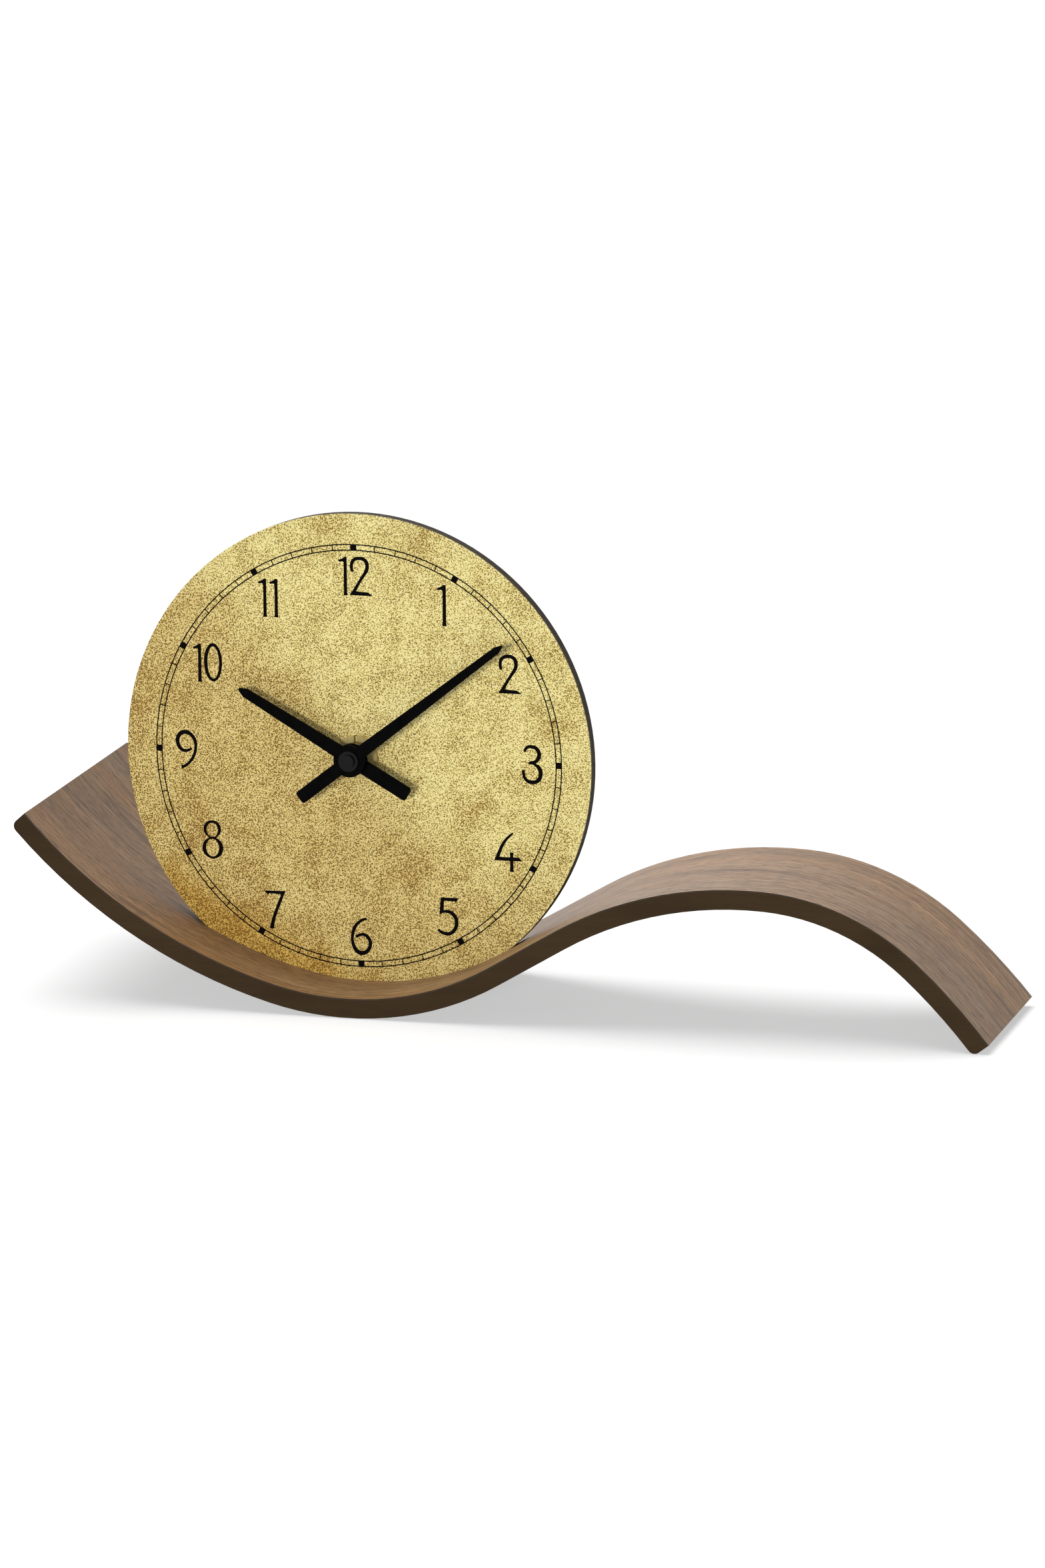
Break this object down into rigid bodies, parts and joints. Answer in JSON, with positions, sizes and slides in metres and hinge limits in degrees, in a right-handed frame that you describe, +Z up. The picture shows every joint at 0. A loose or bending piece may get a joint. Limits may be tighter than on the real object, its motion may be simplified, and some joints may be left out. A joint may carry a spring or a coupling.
{
  "type": "desk clock",
  "caption": "Desk clock: a round dial leaning slightly back, set in a slot of a wave-shaped band of veneered wood, with a quartz movement behind it.",
  "frame": {"origin": "on the table, under the middle of the clock's bounding box", "axes": "+X to the right along the band as seen from the front, +Y away from the viewer, +Z up"},
  "size_m": [0.4106, 0.1184, 0.2009],
  "materials": {
    "band_core": "dark brown stained edges, satin lacquer",
    "walnut_veneer": "walnut veneer, grain along the band, satin lacquer",
    "dial_plate": "antiqued gold with fine brown speckle",
    "dial_backing": "dark brown board, matt",
    "round_nut": "satin",
    "rubber_washer": "matt",
    "hands": "satin black",
    "hand_cap": "satin black",
    "wheels": "natural acetal",
    "setting_knob": "matt black",
    "rotor_magnet": "sintered, dull",
    "motor_steel": "stamped electrical steel",
    "small_screws": "zinc plated",
    "coil_bobbin": "natural plastic",
    "coil_winding": "enamelled copper wire",
    "circuit_board": "green solder mask",
    "clock_chip": "black resin",
    "quartz_crystal": "tinned can",
    "movement_case": "matt black moulding",
    "battery": "printed sleeve, bare ends",
    "battery_contacts": "nickel plated strip"
  },
  "bodies": {
    "clock": {"band_core": "band_core", "walnut_veneer": "walnut_veneer", "dial_plate": "dial_plate", "dial_backing": "dial_backing", "round_nut": "round_nut", "rubber_washer": "rubber_washer", "stator_plate": "motor_steel", "coil_core": "motor_steel", "coil_core_screws": "small_screws", "coil_bobbin": "coil_bobbin", "coil_winding": "coil_winding", "circuit_board": "circuit_board", "clock_chip": "clock_chip", "quartz_crystal": "quartz_crystal", "movement_case": "movement_case", "movement_lid": "movement_case", "lid_screws": "small_screws", "battery": "battery", "battery_plus_contact": "battery_contacts", "battery_minus_contact": "battery_contacts"},
    "minute_hand_group": {"minute_hand": "hands", "hand_cap": "hand_cap", "minute_arbor": "wheels"},
    "hour_hand_group": {"hour_hand": "hands", "hour_wheel": "wheels"},
    "minute_work": {"minute_work_wheel": "wheels"},
    "setting": {"setting_knob": "setting_knob", "setting_shaft": "wheels"},
    "centre": {"centre_wheel": "wheels"},
    "third": {"third_wheel": "wheels"},
    "seconds": {"seconds_wheel": "wheels"},
    "reduction": {"reduction_wheel": "wheels"},
    "rotor": {"rotor_spindle": "wheels", "rotor_magnet": "rotor_magnet"}
  },
  "joints": [
    {"name": "minute_spin", "type": "hinge", "parent": "clock", "child": "minute_hand_group", "pos_m": [-0.06629, -0.01868, 0.10059], "axis": [0, 0.9973, -0.0732], "continuous": true},
    {"name": "hour_spin", "type": "hinge", "parent": "clock", "child": "hour_hand_group", "pos_m": [-0.06629, -0.01868, 0.10059], "axis": [0, 0.9973, -0.0732], "continuous": true},
    {"name": "minute_work_spin", "type": "hinge", "parent": "clock", "child": "minute_work", "pos_m": [-0.07469, -0.01868, 0.10059], "axis": [0, 0.9973, -0.0732], "continuous": true},
    {"name": "setting_spin", "type": "hinge", "parent": "clock", "child": "setting", "pos_m": [-0.08011, -0.01812, 0.10831], "axis": [0, 0.9973, -0.0732], "continuous": true},
    {"name": "centre_wheel_spin", "type": "hinge", "parent": "clock", "child": "centre", "pos_m": [-0.06629, -0.01868, 0.10059], "axis": [0, 0.9973, -0.0732], "continuous": true},
    {"name": "third_wheel_spin", "type": "hinge", "parent": "clock", "child": "third", "pos_m": [-0.06068, -0.01797, 0.11028], "axis": [0, 0.9973, -0.0732], "continuous": true},
    {"name": "seconds_wheel_spin", "type": "hinge", "parent": "clock", "child": "seconds", "pos_m": [-0.0506, -0.01797, 0.11028], "axis": [0, 0.9973, -0.0732], "continuous": true},
    {"name": "reduction_wheel_spin", "type": "hinge", "parent": "clock", "child": "reduction", "pos_m": [-0.0506, -0.01736, 0.11866], "axis": [0, 0.9973, -0.0732], "continuous": true},
    {"name": "rotor_spin", "type": "hinge", "parent": "clock", "child": "rotor", "pos_m": [-0.05628, -0.01724, 0.12017], "axis": [0, 0.9973, -0.0732], "continuous": true}
  ],
  "couplings": [
    {"joint": "minute_work_spin", "follows": "minute_spin", "ratio": -0.33333},
    {"joint": "hour_spin", "follows": "minute_spin", "ratio": 0.083333},
    {"joint": "setting_spin", "follows": "minute_spin", "ratio": 0.66667},
    {"joint": "third_wheel_spin", "follows": "seconds_wheel_spin", "ratio": -0.125},
    {"joint": "centre_wheel_spin", "follows": "seconds_wheel_spin", "ratio": 0.016667},
    {"joint": "reduction_wheel_spin", "follows": "seconds_wheel_spin", "ratio": -5},
    {"joint": "rotor_spin", "follows": "seconds_wheel_spin", "ratio": 30}
  ]
}
